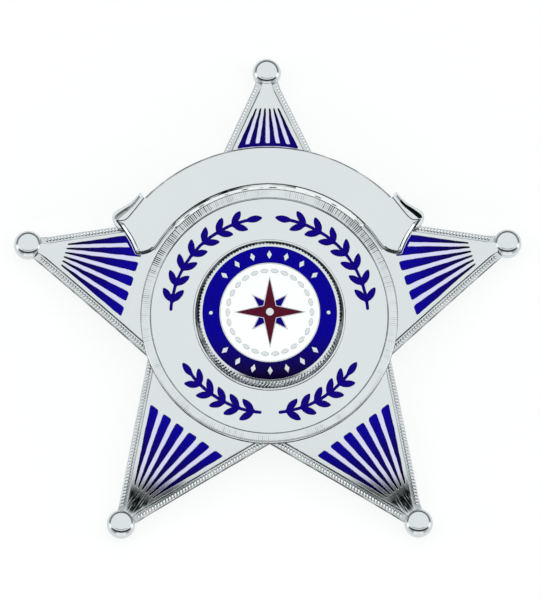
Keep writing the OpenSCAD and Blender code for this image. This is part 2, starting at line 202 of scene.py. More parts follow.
def badge_metal(name, colour, roughness, line_depth):
    """One of the badge's metals. A face attribute says how much painted shade a face has: 0 is none.

    The inputs of a Mix node go by number: 0 is the share, 2 and 3 its numbers, 6 and 7 its colours.
    """
    material, tree, shader = new_material(name)
    place = add(tree, "TexCoord").outputs["Object"]
    along_wheel = add(tree, "Mapping", {"Scale": (1, 0.05, 1), "Rotation": (0, 0, 0.5)}, {"Vector": place})
    fine = {"Scale": 1 / (POLISH_LINES_MM * MM), "Detail": 2}
    lines = add(tree, "TexNoise", fine, {"Vector": along_wheel})
    cloudy = {"Scale": 1 / (HAZE_MM * MM), "Detail": 4, "Roughness": 0.6}
    haze = add(tree, "TexNoise", cloudy, {"Vector": place})
    hazed = {"From Min": 0.35, "From Max": 0.75, "To Min": roughness, "To Max": roughness * 1.8}
    rough = add(tree, "MapRange", hazed, {"Value": haze})
    dull = [c * 0.96 for c in linear(colour)[:3]] + [1]
    tint = add(tree, "Mix", {"data_type": "RGBA", 6: linear(colour), 7: dull}, {0: haze})
    patchy = {"Scale": 1 / (PAINTED_SHADE_PATCH_MM * MM), "Detail": 2}
    shade_patches = add(tree, "TexNoise", patchy, {"Vector": place})
    shade_spread = {"From Min": 0.36, "From Max": 0.58, "To Min": 0.5, "To Max": 1.2}
    shade_patchiness = add(tree, "MapRange", shade_spread, {"Value": shade_patches})
    # Painted shade: the face attribute darkens the colour towards near-black, and roughens it, in patches.
    marked = add(tree, "Attribute", {"attribute_name": "painted_shade"}).outputs["Fac"]
    painted_shade = add(tree, "Math", {"operation": "MULTIPLY", "use_clamp": True}, {0: marked, 1: shade_patchiness})
    shaded_colour = add(tree, "Mix", {"data_type": "RGBA", 7: linear(PAINTED_SHADE_COLOUR)}, {0: painted_shade, 6: tint.outputs[2]})
    blunt = add(tree, "Mix", {3: PAINTED_SHADE_ROUGHNESS}, {0: painted_shade, 2: rough})
    bump = add(tree, "Bump", {"Strength": line_depth, "Distance": 0.004 * MM}, {"Height": lines})
    tree.links.new(shaded_colour.outputs[2], shader.inputs["Base Color"])
    tree.links.new(blunt.outputs[0], shader.inputs["Roughness"])
    tree.links.new(bump.outputs["Normal"], shader.inputs["Normal"])
    shader.inputs["Metallic"].default_value = 1.0
    return material


# The star: one piece of brass, struck with five arms, domed all over, whose arms end in solid balls.
# Its raised field holds the cells for the rays, and a border runs lower along its edges. The plate
# is a cool, pale silver.
ARMS = 5
TIP_R = 36.75
BALL_D = 4.2
BALL_SINK = 0.6
BALL_TOP = 0.74
DOME_R = 125.0
PLATE_T = 1.5
NOTCH_R = 18.5
BORDER_DROP = 0.45
FIELD_SUNK_IN = 0.1
FIELD_RIM = 0.06
SLAB_RIM = 0.1
RAY_ENDS = (20.5, 31.2)
RAY_PITCHES = (2.3, 0.64)
RAYS = 6
CUT_PITCH = 2.0
GRAVER_STEP = 0.35
GRAVER_WANDER = 0.045
GRAVER_SEED = 2
CHORD = 0.35
RIM_STEPS = 3
SHARP_ANGLE = math.radians(38)
# The walls of every crown are painted dark at their top and foot: painted shade.
WALL_SHADES = ((0.2, 0.9), (0.5, 0.05), (0.3, 1.0))  # From the top: share of the height, and painted shade.
FOOTWARD_SHADE = 0.95
BORDER_SHADE = 0.12
star_nickel = badge_metal("star_bright_nickel", "#d5d9db", 0.07, 0.25)

panel_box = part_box("centre_panel")
STAR_AT = Vector(((panel_box[0].x + panel_box[1].x) / 2, (panel_box[0].y + panel_box[1].y) / 2, 0)) / MM
DOME_Z = BALL_D / 2 - math.sqrt((DOME_R - BALL_SINK) ** 2 - TIP_R ** 2)
ARM_TURN = 2 * math.pi / ARMS
ball_turns = [math.pi / 2 + ARM_TURN * k for k in range(ARMS)]
ball_places = [Vector((TIP_R * math.cos(turn), TIP_R * math.sin(turn), BALL_D / 2)) for turn in ball_turns]
# The vector noise, which is the graver's wander, starts from the clock unless it is given a seed.
noise.seed_set(GRAVER_SEED)


def crown_of(node, radius, centre_z=DOME_Z, within=50, hand_cut=None):
    """The part of a CAD node that lies on a sphere about the star's axis, laid flat.

    It is in millimetres from that axis. hand_cut says which of its edges a graver made: those of
    the "cells" in it, or "all".
    """
    bm = bmesh.new()
    bm.from_mesh(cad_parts[node].data)
    bmesh.ops.scale(bm, vec=Vector((1, 1, 1)) / MM, verts=bm.verts)
    bmesh.ops.translate(bm, vec=-STAR_AT, verts=bm.verts)
    bmesh.ops.remove_doubles(bm, verts=bm.verts, dist=0.0005)
    middle = Vector((0, 0, centre_z))
    near = [v for v in bm.verts if v.co.to_2d().length < within]
    on_it = {v for v in near if abs((v.co - middle).length - radius) < 0.002}
    away = [f for f in bm.faces if not all(v in on_it for v in f.verts) or abs(f.normal.z) < 0.7]
    bmesh.ops.delete(bm, geom=away, context="FACES")
    inner = [e for e in bm.edges if not e.is_boundary]
    bmesh.ops.delete(bm, geom=list(bm.faces), context="FACES_ONLY")
    bmesh.ops.delete(bm, geom=inner, context="EDGES")
    for v in bm.verts:
        v.co.z = 0
    bmesh.ops.remove_doubles(bm, verts=bm.verts, dist=0.008)
    make_round(bm)
    if hand_cut:
        cut_by_hand(bm, hand_cut == "cells")
    bmesh.ops.triangle_fill(bm, edges=list(bm.edges), use_beauty=True, normal=(0, 0, 1))
    bmesh.ops.reverse_faces(bm, faces=[f for f in bm.faces if f.normal.z < 0])
    return bm


def make_round(bm):
    """Puts back the arcs about the star's axis that the CAD mesh shows as chords."""
    lifted = {}
    for e in list(bm.edges):
        start, end = e.verts
        r = start.co.to_2d().length
        middle = ((start.co + end.co) / 2).to_2d().length
        if abs(r - end.co.to_2d().length) > 0.003 or r - middle < 0.0004 or e.calc_length() > r * 0.3:
            continue
        for left in range(int(e.calc_length() / CHORD), 0, -1):
            start = bmesh.utils.edge_split(e, start, 1 / (left + 1))[1]
            lifted[start] = r
            e = next(side for side in start.link_edges if end in side.verts)
    for v, r in lifted.items():
        v.co = v.co.normalized() * r


def cut_by_hand(bm, keep_outer):
    """Makes the edges of cells a little uneven, with soft corners, as the graver leaves them."""
    kept = set()
    ahead = [max(bm.verts, key=lambda v: v.co.length_squared)] if keep_outer else []
    while ahead:
        v = ahead.pop()
        if v not in kept:
            kept.add(v)
            ahead += [e.other_vert(v) for e in v.link_edges]
    for e in [e for e in bm.edges if e.verts[0] not in kept]:
        start, end = e.verts
        for left in range(int(e.calc_length() / GRAVER_STEP), 0, -1):
            start = bmesh.utils.edge_split(e, start, 1 / (left + 1))[1]
            e = next(side for side in start.link_edges if end in side.verts)
    cut = [v for v in bm.verts if v not in kept and len(v.link_edges) == 2]
    sides = {v: (v.link_edges[0].other_vert(v).co + v.link_edges[1].other_vert(v).co) / 2 for v in cut}
    moved = {v: v.co.lerp(sides[v], 0.5 if (sides[v] - v.co).length < 0.3 else 0.3) for v in cut}
    for v, co in moved.items():
        wander = noise.noise_vector(co * 0.9) + noise.noise_vector(co * 2.3) * 0.4
        v.co = pointed(co) + Vector((wander.x, wander.y, 0)) * GRAVER_WANDER


def pointed(co):
    """Draws the thin end of a ray in towards the ray's own middle line."""
    turn = math.pi / 2 + ARM_TURN * round((math.atan2(co.y, co.x) - math.pi / 2) / ARM_TURN)
    along = Vector((math.cos(turn), math.sin(turn), 0))
    across = Vector((-along.y, along.x, 0))
    reach, aside = co.dot(along), co.dot(across)
    share = (reach - RAY_ENDS[0]) / (RAY_ENDS[1] - RAY_ENDS[0])
    if share < 0.4:
        return co
    pitch = RAY_PITCHES[0] + (RAY_PITCHES[1] - RAY_PITCHES[0]) * min(share, 1)
    first = (RAYS - 1) / 2
    middle = (min(max(round(aside / pitch + first), 0), RAYS - 1) - first) * pitch
    return co + across * (middle - aside) * 0.5 * min((share - 0.4) / 0.6, 1)


def inward_of(bm):
    """For each vertex on the edge of a flat crown, the step inwards that moves its edges by one unit."""
    steps = {}
    for e in bm.edges:
        if e.is_boundary:
            loop = e.link_loops[0]
            along = (loop.link_loop_next.vert.co - loop.vert.co).normalized()
            for v in e.verts:
                steps.setdefault(v, []).append(Vector((-along.y, along.x, 0)))
    return {v: (a + b) / max(1 + a.dot(b), 0.3) for v, (a, b) in steps.items()}


def outer_verts(bm):
    """The vertices on open edges that go round the outside of a flat crown, not round a cell."""
    outer = []
    seen = set()
    for first in bm.verts:
        found, ahead, area = set(), [first], 0.0
        while ahead:
            v = ahead.pop()
            if v in seen:
                continue
            seen.add(v)
            found.add(v)
            for e in v.link_edges:
                if e.is_boundary:
                    ahead.append(e.other_vert(v))
                    start = e.link_loops[0].vert
                    end = e.other_vert(start)
                    area += start.co.x * end.co.y - start.co.y * end.co.x
        if area > 0:
            outer += found
    return outer


def add_rim(bm, radius, depth, draft, crown_shade):
    """Rounds the top edges of a flat crown, and lets walls down from them.

    The outer wall leans out by draft, a distance or a function that gives it for a place. The crown
    gets as much painted shade as its last argument says; the walls get painted shade at top and foot.
    """
    mark = bm.faces.layers.int.new("crown")
    painted_shade = bm.faces.layers.float.new("painted_shade")
    for f in bm.faces:
        f[mark] = 1
        f[painted_shade] = crown_shade
    inward = inward_of(bm)
    lean = {v: draft(v.co) if callable(draft) else draft for v in outer_verts(bm)}
    for v, step in inward.items():
        v.co += step * (radius + lean.get(v, 0))
    rim = [e for e in bm.edges if e.is_boundary]
    rounds = [math.pi / 2 * k / RIM_STEPS for k in range(RIM_STEPS + 1)]
    moves = []
    for a, b in zip(rounds, rounds[1:]):
        moves.append((radius * (math.sin(b) - math.sin(a)), radius * (math.cos(a) - math.cos(b)), 0, 0))
    moves += [(0, (depth - radius) * share, share, shade) for share, shade in WALL_SHADES]
    for out, down, leaning, shade in moves:
        made = bmesh.ops.extrude_edge_only(bm, edges=rim)["geom"]
        rim = [e for e in made if isinstance(e, bmesh.types.BMEdge) and e.is_boundary]
        fresh = {v for e in rim for v in e.verts}
        for v in fresh:
            old = next(e.other_vert(v) for e in v.link_edges if e.other_vert(v) not in fresh)
            inward[v], lean[v] = inward[old], lean.get(old, 0)
            v.co -= inward[v] * (out + leaning * lean[v])
            v.co.z -= down
        for f in {f for e in rim for f in e.link_faces}:
            f[mark] = 0
            f[painted_shade] = shade


def cut_in_squares(bm):
    """Cuts the flat faces in squares, so that they can bend."""
    for axis in (0, 1):
        places = [v.co[axis] for v in bm.verts]
        across = Vector((1 - axis, axis, 0))
        for k in range(math.ceil(min(places) / CUT_PITCH), math.ceil(max(places) / CUT_PITCH)):
            everything = bm.verts[:] + bm.edges[:] + bm.faces[:]
            at = across * CUT_PITCH * k
            bmesh.ops.bisect_plane(bm, geom=everything, dist=1e-4, plane_co=at, plane_no=across)


def crowned(bm, radius, rim, wall, centre_z=DOME_Z, draft=0.0, crown_shade=0.0):
    """A finished crown: rounded rims, walls and an underside, laid over its sphere."""
    add_rim(bm, rim, wall, draft, crown_shade)
    loop = [e for e in bm.edges if e.is_boundary]
    made = bmesh.ops.triangle_fill(bm, edges=loop, use_beauty=True, normal=(0, 0, 1))["geom"]
    under = [f for f in made if isinstance(f, bmesh.types.BMFace) and f.normal.z > 0]
    bmesh.ops.reverse_faces(bm, faces=under)
    cut_in_squares(bm)
    bmesh.ops.dissolve_degenerate(bm, edges=bm.edges, dist=0.001)
    for v in bm.verts:
        v.co.z += centre_z + math.sqrt(radius ** 2 - v.co.x ** 2 - v.co.y ** 2)
    return bm


def join(bm, other):
    """Adds another mesh to a mesh, and frees the other one."""
    part = bpy.data.meshes.new("part")
    other.to_mesh(part)
    other.free()
    bm.from_mesh(part)
    bpy.data.meshes.remove(part)
    return bm


def finish_piece(name, bm, material, replaced, centre_z=DOME_Z):
    """Makes the object, with its place in its mesh, and gives its crown the sphere's own normals."""
    bmesh.ops.translate(bm, vec=STAR_AT, verts=bm.verts)
    bmesh.ops.scale(bm, vec=Vector((1, 1, 1)) * MM, verts=bm.verts)
    for f in bm.faces:
        f.smooth = True
    for e in bm.edges:
        e.smooth = len(e.link_faces) != 2 or e.calc_face_angle(0) < SHARP_ANGLE
    mesh = bpy.data.meshes.new(name)
    bm.to_mesh(mesh)
    bm.free()
    if "crown" in mesh.attributes:
        middle = (STAR_AT + Vector((0, 0, centre_z))) * MM
        normals = [Vector() for _ in mesh.loops]
        for face, on_crown in zip(mesh.polygons, mesh.attributes["crown"].data):
            if on_crown.value:
                for i in face.loop_indices:
                    normals[i] = (mesh.vertices[mesh.loops[i].vertex_index].co - middle).normalized()
        mesh.normals_split_custom_set(normals)
        mesh.attributes.remove(mesh.attributes["crown"])
    mesh.materials.append(material)
    piece = bpy.data.objects.new(name, mesh)
    bpy.context.scene.collection.objects.link(piece)
    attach(piece, "root")
    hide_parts(*replaced)


def at_ball(co):
    """Whether a point lies at the foot of a ball, where the arm runs into it without an edge."""
    nearest = min((co.to_2d() - place.to_2d()).length for place in ball_places)
    return co.length < TIP_R and nearest < BALL_D / 2


def field_draft(co):
    """The field's walls lean out, but in a little where they run into a ball."""
    return -0.06 if at_ball(co) else 0.16


def slab_draft(co):
    """The same for the border's walls."""
    return -0.1 if at_ball(co) else 0.1


def without_points(bm):
    """Cuts off the sharp ends of the arms, which lie inside the balls."""
    for turn in ball_turns:
        along = Vector((math.cos(turn), math.sin(turn), 0))
        bmesh.ops.bisect_plane(
            bm, geom=bm.verts[:] + bm.edges[:] + bm.faces[:], dist=1e-4,
            plane_co=along * (TIP_R + 1), plane_no=along, clear_outer=True,
        )
    return bm


star = without_points(crown_of("star_plate", DOME_R, hand_cut="cells"))
star = crowned(star, DOME_R, FIELD_RIM, BORDER_DROP + FIELD_SUNK_IN, draft=field_draft)
border_r = DOME_R - BORDER_DROP
slab = without_points(crown_of("star_plate", DOME_R - PLATE_T))
slab = crowned(slab, border_r, SLAB_RIM, PLATE_T - BORDER_DROP, draft=slab_draft, crown_shade=BORDER_SHADE)
# Painted shade: the walls that face down the badge, on the camera's side, are painted darker, and the lower
# border is painted a little dark all over.
for bm in (star, slab):
    painted_shade = bm.faces.layers.float["painted_shade"]
    bm.normal_update()
    for f in bm.faces:
        is_wall = f[painted_shade] > 0 and -0.7 < f.normal.z < 0.9
        if is_wall and f.normal.y < -0.3 and f.calc_center_median().to_2d().length > NOTCH_R - 1:
            f[painted_shade] = FOOTWARD_SHADE
join(star, slab)
for place in ball_places:
    ball = bmesh.ops.create_uvsphere(star, u_segments=64, v_segments=48, radius=BALL_D / 2)
    for v in ball["verts"]:
        if v.co.z > 0:
            out = min(v.co.to_2d().length / (BALL_D / 2), 1)
            squareness = 3.0 + 0.5 * v.co.y / (BALL_D / 2)
            v.co.z = BALL_TOP * BALL_D / 2 * (1 - out ** squareness) ** (1 / squareness)
    bmesh.ops.translate(star, vec=place, verts=ball["verts"])

# Two painted reflections on the star's field. Where the rays stand close together, their blue is
# painted into the metal between them as a lilac cast. On the two lower arms a dark reflection is
# painted in streaks between the ends of the rays and the ball. From here on, the material's places are in
# millimetres.
LILAC = "#d0cfe7"
FAN_HALVES = (6.0, 1.5)
FIELD_POINT = 36.2
FIELD_SLOPE = 0.456
STREAK_SCALE = (190, 0.4, 1)  # A streak is near 0.17 mm wide and 2.5 mm long.
tree = star_nickel.node_tree
shader = tree.nodes["Principled BSDF"]
from_axis = {"Location": -STAR_AT, "Scale": (1 / MM, 1 / MM, 1 / MM)}
place = add(tree, "Mapping", from_axis, {"Vector": add(tree, "TexCoord").outputs["Object"]})
flat = add(tree, "VectorMath", {"operation": "MULTIPLY", 1: (1, 1, 0)}, {0: place})
x, y, _ = add(tree, "SeparateXYZ", links={"Vector": flat}).outputs
reach = add(tree, "VectorMath", {"operation": "LENGTH"}, {0: flat}).outputs["Value"]
level = add(tree, "VectorMath", {"operation": "DISTANCE", 1: (0, 0, DOME_Z)}, {0: place}).outputs["Value"]
on_field = (level, DOME_R - 0.4, DOME_R - 0.2)

# How far a place is turned from its arm's middle line, and how far it is past the fan's edge and
# past the field's edge.
turned = add(tree, "Math", {"operation": "ARCTAN2"}, {0: x, 1: y})
turned = add(tree, "Math", {"operation": "ADD", 1: 2 * math.pi + ARM_TURN / 2}, {0: turned})
turned = add(tree, "Math", {"operation": "MODULO", 1: ARM_TURN}, {0: turned})
turned = add(tree, "Math", {"operation": "SUBTRACT", 1: ARM_TURN / 2}, {0: turned})
sideways = add(tree, "Math", {"operation": "ABSOLUTE"}, {0: turned})
sideways = add(tree, "Math", {"operation": "MULTIPLY"}, {0: sideways, 1: reach})
narrowing = {
    "From Min": RAY_ENDS[0], "From Max": RAY_ENDS[1], "To Min": FAN_HALVES[0], "To Max": FAN_HALVES[1],
}
fan_half = add(tree, "MapRange", narrowing, {"Value": reach})
past_fan = add(tree, "Math", {"operation": "SUBTRACT"}, {0: sideways, 1: fan_half})
tapering = {"operation": "MULTIPLY_ADD", 1: -FIELD_SLOPE, 2: FIELD_SLOPE * FIELD_POINT}
field_half = add(tree, "Math", tapering, {0: reach})
past_field = add(tree, "Math", {"operation": "SUBTRACT"}, {0: sideways, 1: field_half})
streaks = add(tree, "CombineXYZ", links={"X": turned, "Y": reach})
streaks = add(tree, "Mapping", {"Scale": STREAK_SCALE}, {"Vector": streaks})
streaks = add(tree, "TexNoise", {"Scale": 1.0, "Detail": 2}, {"Vector": streaks})

# Painted reflections: a lilac cast between the rays, and dark streaks at the lower arms' necks.
in_fan = mask(tree, (past_fan, 0.1, -0.2), (reach, 20.9, 21.6), (reach, 31.2, 29.8), on_field)
low_arms = (y, -18, -20)
neck = (reach, 31.0, 32.4), (reach, 35.2, 34.2), (past_field, 0.1, -0.4)
in_neck = mask(tree, *neck, low_arms, on_field, (streaks, 0.36, 0.5))
plain = shader.inputs["Base Color"].links[0].from_socket
painted_blue_reflection = add(tree, "Mix", {"data_type": "RGBA", 7: linear(LILAC)}, {0: in_fan, 6: plain})
painted_neck_reflection = add(tree, "Mix", {"data_type": "RGBA", 7: linear(PAINTED_SHADE_COLOUR)}, {0: in_neck, 6: painted_blue_reflection.outputs[2]})
tree.links.new(painted_neck_reflection.outputs[2], shader.inputs["Base Color"])
finish_piece("star", star, star_nickel, ["star_plate"])

# The milled border: grains rolled into the lower edge of each arm, close together and aslant. Their
# tops are burnished, and their nickel is painted lighter, a painted highlight, so they are the
# brightest metal on the badge. Between them their lower parts are painted dark: painted shade.
EDGE_MEET = 2.05
GRAIN_PITCH = 0.47
GRAIN = Vector((0.4, 0.19, 0.17))
GRAIN_SLANT = math.radians(28)
GRAIN_INSET = 0.5
GRAIN_START = 0.9
GRAIN_SHADE = 1.2
TOP_ARM_DROP = 0.1
# Painted highlight: the grains' nickel is painted lighter than the other nickel.
grain_nickel = badge_metal("grain_nickel_painted_highlight", "#f3f6f7", 0.1, 0.1)


def dome_height(r, radius):
    """The height of a sphere about the dome's centre, at a distance from the star's axis."""
    return DOME_Z + math.sqrt(radius ** 2 - r ** 2)


apex = Vector((TIP_R + EDGE_MEET, 0, 0))
notch = Vector((NOTCH_R * math.cos(ARM_TURN / 2), NOTCH_R * math.sin(ARM_TURN / 2), 0))
edge = (apex - notch).normalized()
inset = Vector((edge.y, -edge.x, 0)) * GRAIN_INSET
lay = Matrix.Rotation(math.atan2(edge.y, edge.x) + math.pi / 2 - GRAIN_SLANT, 4, "Z")
grain_count = int(((apex - notch).length - BALL_D - 0.6) / GRAIN_PITCH)
grains = bmesh.new()
row = bmesh.new()
painted_shade = row.faces.layers.float.new("painted_shade")
for k in range(grain_count):
    at = notch + inset + edge * (GRAIN_START + k * GRAIN_PITCH)
    at.z = dome_height(at.length, border_r)
    there = Matrix.Translation(at) @ lay @ Matrix.Diagonal((*GRAIN, 1))
    bmesh.ops.create_uvsphere(row, u_segments=8, v_segments=6, radius=1.0, matrix=there)
# Painted shade: the lower part of each grain is painted dark.
for f in row.faces:
    middle = f.calc_center_median()
    over = middle.z - dome_height(middle.to_2d().length, border_r)
    f[painted_shade] = GRAIN_SHADE if over < GRAIN.z * 0.45 else 0.0
for turn in ball_turns:
    for side in (1, -1):
        copy = row.copy()
        copy.transform(Matrix.Rotation(turn, 4, "Z") @ Matrix.Diagonal((1, side, 1, 1)))
        if turn == ball_turns[0]:
            bmesh.ops.translate(copy, vec=(0, 0, -TOP_ARM_DROP), verts=copy.verts)
        if side < 0:
            bmesh.ops.reverse_faces(copy, faces=copy.faces)
        join(grains, copy)
row.free()
finish_piece("border_grains", grains, grain_nickel, [])

# The ribbon: a blank strip of plated brass, bent over the top of the star and soldered down, with a
# fold rolled back behind each end. Its face is the smoothest metal, and the insides of its folds are
# painted dark: painted shade.
RIBBON_RISE = 1.05
RIBBON_RIM = 0.08
RIBBON_IN_R = 19.35
RIBBON_OUT_R = 25.25
RIBBON_TIP_R = 26.3
RIBBON_EDGE_SHADE = 0.85
FOLD_LINE = 45.6
END_LINE = 56.9
FOLD_DROP = 0.25
FOLD_RIM = 0.06
SLIT_DEPTH = 0.55
SEAT_GAP = 0.03
# From the face down: how deep a point of the end is, and how deep filing puts it.
END_CHAMFER = ((0.08, 0.08), (0.27, 0.13), (0.74, 0.32), (1.02, 1.02))
ribbon_nickel = badge_metal("ribbon_bright_nickel", "#d6dadc", 0.06, 0.2)


def round_from_top(co):
    """How far round the badge a point is from the top, in degrees, on either side."""
    return math.degrees(abs(math.atan2(co.x, co.y)))


def ribbon_draft(co):
    """The ribbon's long edges lean out a little. Its two ends are filed off aslant, and its folds aren't."""
    if round_from_top(co) > END_LINE and co.length > 21.4:
        return min(max(RIBBON_TIP_R - co.length, 0), 1) * 0.6
    if round_from_top(co) > FOLD_LINE and co.length > 24.5:
        return 0.05
    return 0.12 if co.length < RIBBON_IN_R + 0.1 else 0.32


ribbon_r = DOME_R + RIBBON_RISE
ribbon = crown_of("ribbon_banner", ribbon_r)
ribbon = crowned(ribbon, ribbon_r, RIBBON_RIM, RIBBON_RISE - SEAT_GAP, draft=ribbon_draft)
for v in ribbon.verts:
    flat_r = v.co.to_2d().length
    if round_from_top(v.co) > END_LINE - 0.6 and flat_r > 21.2:
        top = dome_height(flat_r, ribbon_r)
        for (low, to_low), (high, to_high) in zip(END_CHAMFER, END_CHAMFER[1:]):
            if low < top - v.co.z <= high:
                v.co.z = top - to_low - (to_high - to_low) * (top - v.co.z - low) / (high - low)
                break
# Painted shade: the wall along the ribbon's upper edge is painted dark.
painted_shade = ribbon.faces.layers.float["painted_shade"]
for f in ribbon.faces:
    middle = f.calc_center_median()
    on_arc = middle.to_2d().length > RIBBON_OUT_R - 0.35 and round_from_top(middle) < FOLD_LINE
    if f[painted_shade] > 0 and on_arc:
        f[painted_shade] = RIBBON_EDGE_SHADE

# The folds lie lower than the ribbon's face, and each has a slit at its foot painted fully dark:
# painted shade. The folds carry more painted shade in their lower part, the right one most.
fold_r = ribbon_r - FOLD_DROP
fold = crown_of("ribbon_banner", fold_r)
fold = crowned(fold, fold_r, FOLD_RIM, RIBBON_RISE - FOLD_DROP - SEAT_GAP, draft=0.05)
slit_r = fold_r - SLIT_DEPTH
join(fold, crowned(crown_of("ribbon_banner", slit_r), slit_r, 0.01, 0.05, crown_shade=1.0))
painted_shade = fold.faces.layers.float["painted_shade"]
for f in fold.faces:
    middle = f.calc_center_median()
    if middle.x < 0:
        f[painted_shade] *= 0.85 if middle.y < 16.0 else 0.25
    else:
        f[painted_shade] *= 0.35 if middle.y > 17.2 else 3
join(ribbon, fold)
finish_piece("ribbon", ribbon, ribbon_nickel, ["ribbon_banner"])

# The round panel: a struck disc of plated brass with cells for the enamel, inside a reeded ridge.
# The ridge is turned, and a small wave across it is each reed. Its furrows are painted a little
# dark, most on the two upper quarters: painted shade.
PANEL_RISE = 0.7
PANEL_R = 18.7
PANEL_RIM = 0.05
CELL_DEPTH = 0.4
RIDGE_W = 1.5
RIDGE_RISE = 0.3
REEDS = 390
REED_HEIGHT = 0.014
panel_nickel = badge_metal("panel_bright_nickel", "#d6dadc", 0.06, 0.2)
panel_face_r = DOME_R + PANEL_RISE
inner_r = PANEL_R - RIDGE_W
panel = crown_of("centre_panel", panel_face_r, within=inner_r + 0.1, hand_cut="cells")
panel = crowned(panel, panel_face_r, PANEL_RIM, CELL_DEPTH)


def spun(profile, sectors, steps, wave, shade):
    """Turns a profile of (radius, height, painted shade) points about the star's axis, in equal sectors.

    wave moves each point, and the last argument gives each face its painted shade.
    """
    bm = bmesh.new()
    painted_shade = bm.faces.layers.float.new("painted_shade")
    line = [bm.verts.new((r, 0, z)) for r, z, _ in profile]
    edges = [bm.edges.new(pair) for pair in zip(line, line[1:])]
    bmesh.ops.spin(
        bm, geom=line + edges, axis=(0, 0, 1), cent=(0, 0, 0), dvec=(0, 0, 0),
        angle=2 * math.pi / sectors, steps=steps,
    )
    for f in bm.faces:
        shares = []
        for v in f.verts:
            r, z = v.co.to_2d().length, v.co.z
            shares.append(min(profile, key=lambda point: math.hypot(r - point[0], z - point[1]))[2])
        f[painted_shade] = min(shares)
    sector = bm.copy()
    for k in range(1, sectors):
        copy = sector.copy()
        copy.transform(Matrix.Rotation(2 * math.pi * k / sectors, 4, "Z"))
        join(bm, copy)
    sector.free()
    bmesh.ops.remove_doubles(bm, verts=bm.verts, dist=0.002)
    painted_shade = bm.faces.layers.float["painted_shade"]
    for f in bm.faces:
        middle = f.calc_center_median()
        f[painted_shade] = shade(middle, math.atan2(middle.y, middle.x), f[painted_shade])
    for v in bm.verts:
        v.co += wave(v.co, math.atan2(v.co.y, v.co.x))
    bmesh.ops.recalc_face_normals(bm, faces=bm.faces)
    if max(bm.faces, key=lambda f: f.calc_center_median().z).normal.z < 0:
        bmesh.ops.reverse_faces(bm, faces=bm.faces)
    return bm


def over_panel(co):
    """How high a point is over the panel's face."""
    return co.z - dome_height(co.to_2d().length, panel_face_r)


def reed(co, turn):
    """The step that a point of the ridge takes: up and down, round the ring."""
    if over_panel(co) < RIDGE_RISE * 0.75:
        return Vector()
    patchy = 0.6 + 0.9 * noise.noise(co * 0.25)
    return Vector((0, 0, REED_HEIGHT * patchy * math.sin(REEDS * turn)))


def reed_shade(co, turn, shade):
    """Painted shade lies in the furrows between the reeds, in some more than in others."""
    if over_panel(co) < RIDGE_RISE * 0.6 or math.sin(REEDS * turn) >= -0.3:
        return shade
    upper_quarters = 0.95 * math.exp(-((round_from_top(co) - 46) / 20) ** 2)
    depth = upper_quarters + (0.12 if co.x < 0 else 0.05) + 0.25 * noise.noise(co * 0.5)
    which = math.floor(turn * REEDS / (2 * math.pi))
    depth *= 1.5 if noise.noise(Vector((which * 0.61, 0, 0))) > 0 else 0.7
    depth *= 0.4 if co.to_2d().length < PANEL_R - RIDGE_W * 0.7 else 1
    return min(max(depth, 0.0), 2.0)


# The ridge's section, from its inner foot over its flat top to its underside and back: how far
# across it is, how high over the panel's face, and its painted shade.
ridge_section = [
    (-0.02, -0.3, 1.0), (0.0, -0.01, 1.0), (0.06, 0.08, 0.6), (0.11, 0.22, 0.0), (0.18, 0.28, 0.0),
    (0.27, RIDGE_RISE - 0.001, 0.0), (0.45, RIDGE_RISE, 0.0), (0.75, RIDGE_RISE, 0.0),
    (1.05, RIDGE_RISE, 0.0), (1.3, RIDGE_RISE - 0.001, 0.0), (1.39, 0.28, 0.0), (1.46, 0.2, 0.9),
    (RIDGE_W, 0.0, 0.9), (RIDGE_W + 0.002, -PANEL_RISE + SEAT_GAP, 0.9),
    (RIDGE_W - 0.8, -PANEL_RISE + SEAT_GAP, 0.0), (-0.02, -0.3, 1.0),
]
ridge_profile = []
for across, rise, share in ridge_section:
    r = inner_r + across
    ridge_profile.append((r, dome_height(r, panel_face_r) + rise, share))
join(panel, spun(ridge_profile, 30, REEDS * 4 // 30, reed, reed_shade))
finish_piece("round_panel", panel, panel_nickel, ["centre_panel"])

# The ribbon's joint: a line of silver solder, run in between the ribbon and the ridge. It is whiter
# than the nickel and slightly lumpy. Along the ribbon on the left, and in short dashes where it
# didn't quite fill, it is painted dark: painted shade.
SOLDER_HALF = 46
SOLDER_END = 9
SOLDER_SINK = 0.55
SOLDER_LUMP = 0.04
solder_silver = badge_metal("run_silver_solder", "#e6eaea", 0.12, 0.3)


def solder_wave(co, turn):
    """Solder lies in small lumps, and runs out towards both ends."""
    sunk = min(max((round_from_top(co) - SOLDER_HALF + SOLDER_END) / SOLDER_END, 0), 1)
    return Vector((0, 0, SOLDER_LUMP * noise.noise(co * 1.1) - SOLDER_SINK * sunk ** 2))


def solder_shade(co, turn, shade):
    """Painted shade lies along the ribbon, on the left, and in dashes along the middle of the line."""
    over = co.to_2d().length - PANEL_R
    if over > 0.45:
        return max(0.9 * math.sin(math.pi * (round_from_top(co) / SOLDER_HALF)) * (co.x < 4), 0)
    dash = 4 * max(noise.noise(Vector((turn * 14, 0, 0))) - 0.03, 0)
    return min(dash, 1.5) if 0.16 < over < 0.3 else 0


